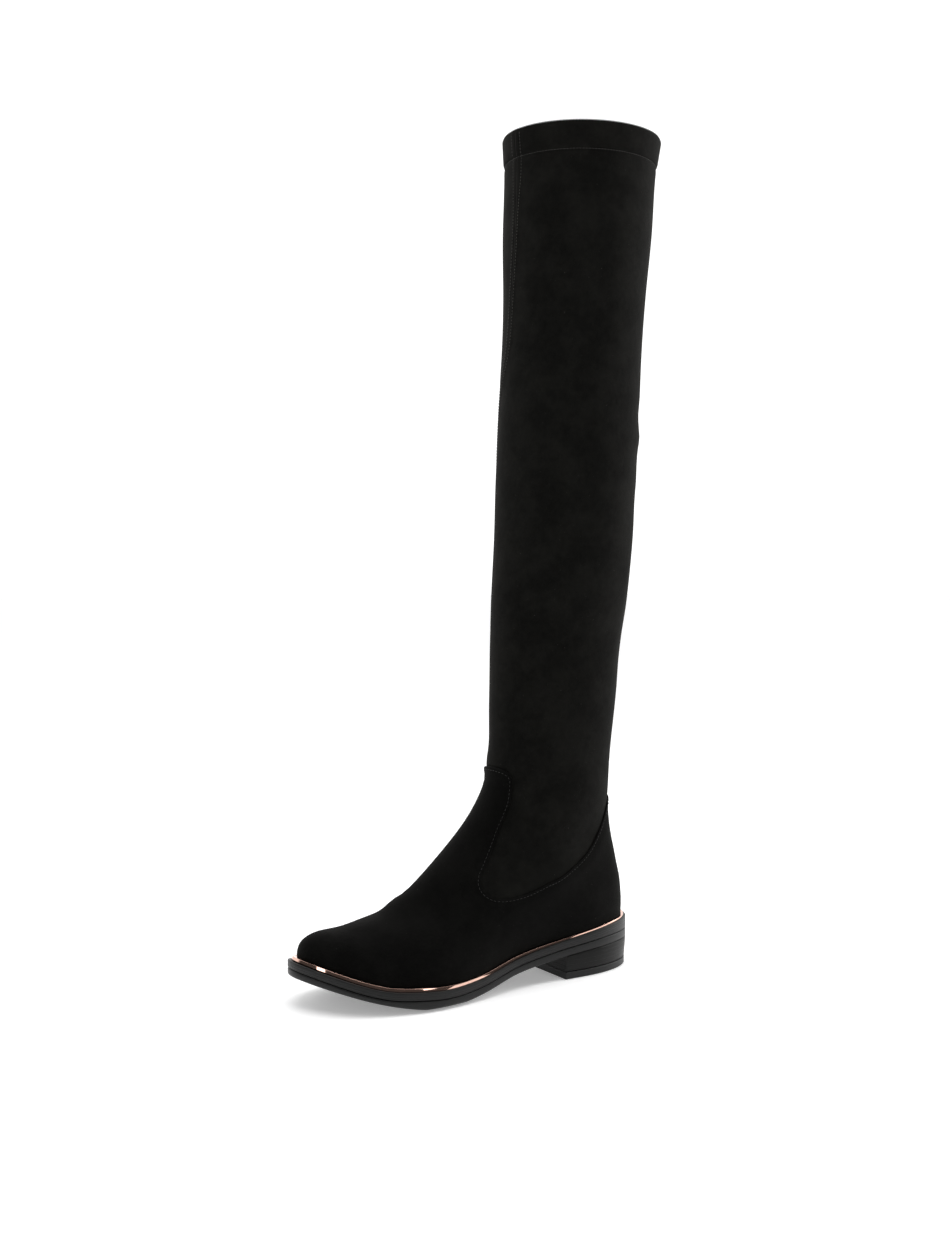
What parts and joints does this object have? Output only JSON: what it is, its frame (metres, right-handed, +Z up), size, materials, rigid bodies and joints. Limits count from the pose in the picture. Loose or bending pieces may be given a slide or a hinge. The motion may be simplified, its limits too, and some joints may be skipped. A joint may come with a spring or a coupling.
{
  "type": "thigh high boot",
  "caption": "Left thigh-high pull-on boot: suede foot part, tall stretch shaft with a folded hem, low stacked heel and a metal-faced trim band round the sole.",
  "frame": {"origin": "middle of the boot's own box in plan, on the floor that it stands on", "axes": "+Z up along the shaft, -Y towards the toe, +X towards the outer side of the left foot"},
  "size_m": [0.109, 0.2874, 0.5988],
  "materials": {
    "suede": "black suede with a short matt nap",
    "stretch_suede": "black stretch micro-suede, soft sheen at the edges",
    "rose_metal_trim": "mirror-bright rose metal",
    "sole_rubber": "satin black moulded rubber",
    "heel_stack": "satin black with faint stacked lines",
    "insole_lining": "dark grey short-pile textile"
  },
  "bodies": {
    "root": {"foot_upper": "suede", "shaft": "stretch_suede", "trim_band": "rose_metal_trim", "welt": "sole_rubber", "outsole": "sole_rubber", "heel_block": "heel_stack", "heel_lift": "sole_rubber", "insole": "insole_lining"}
  },
  "joints": []
}
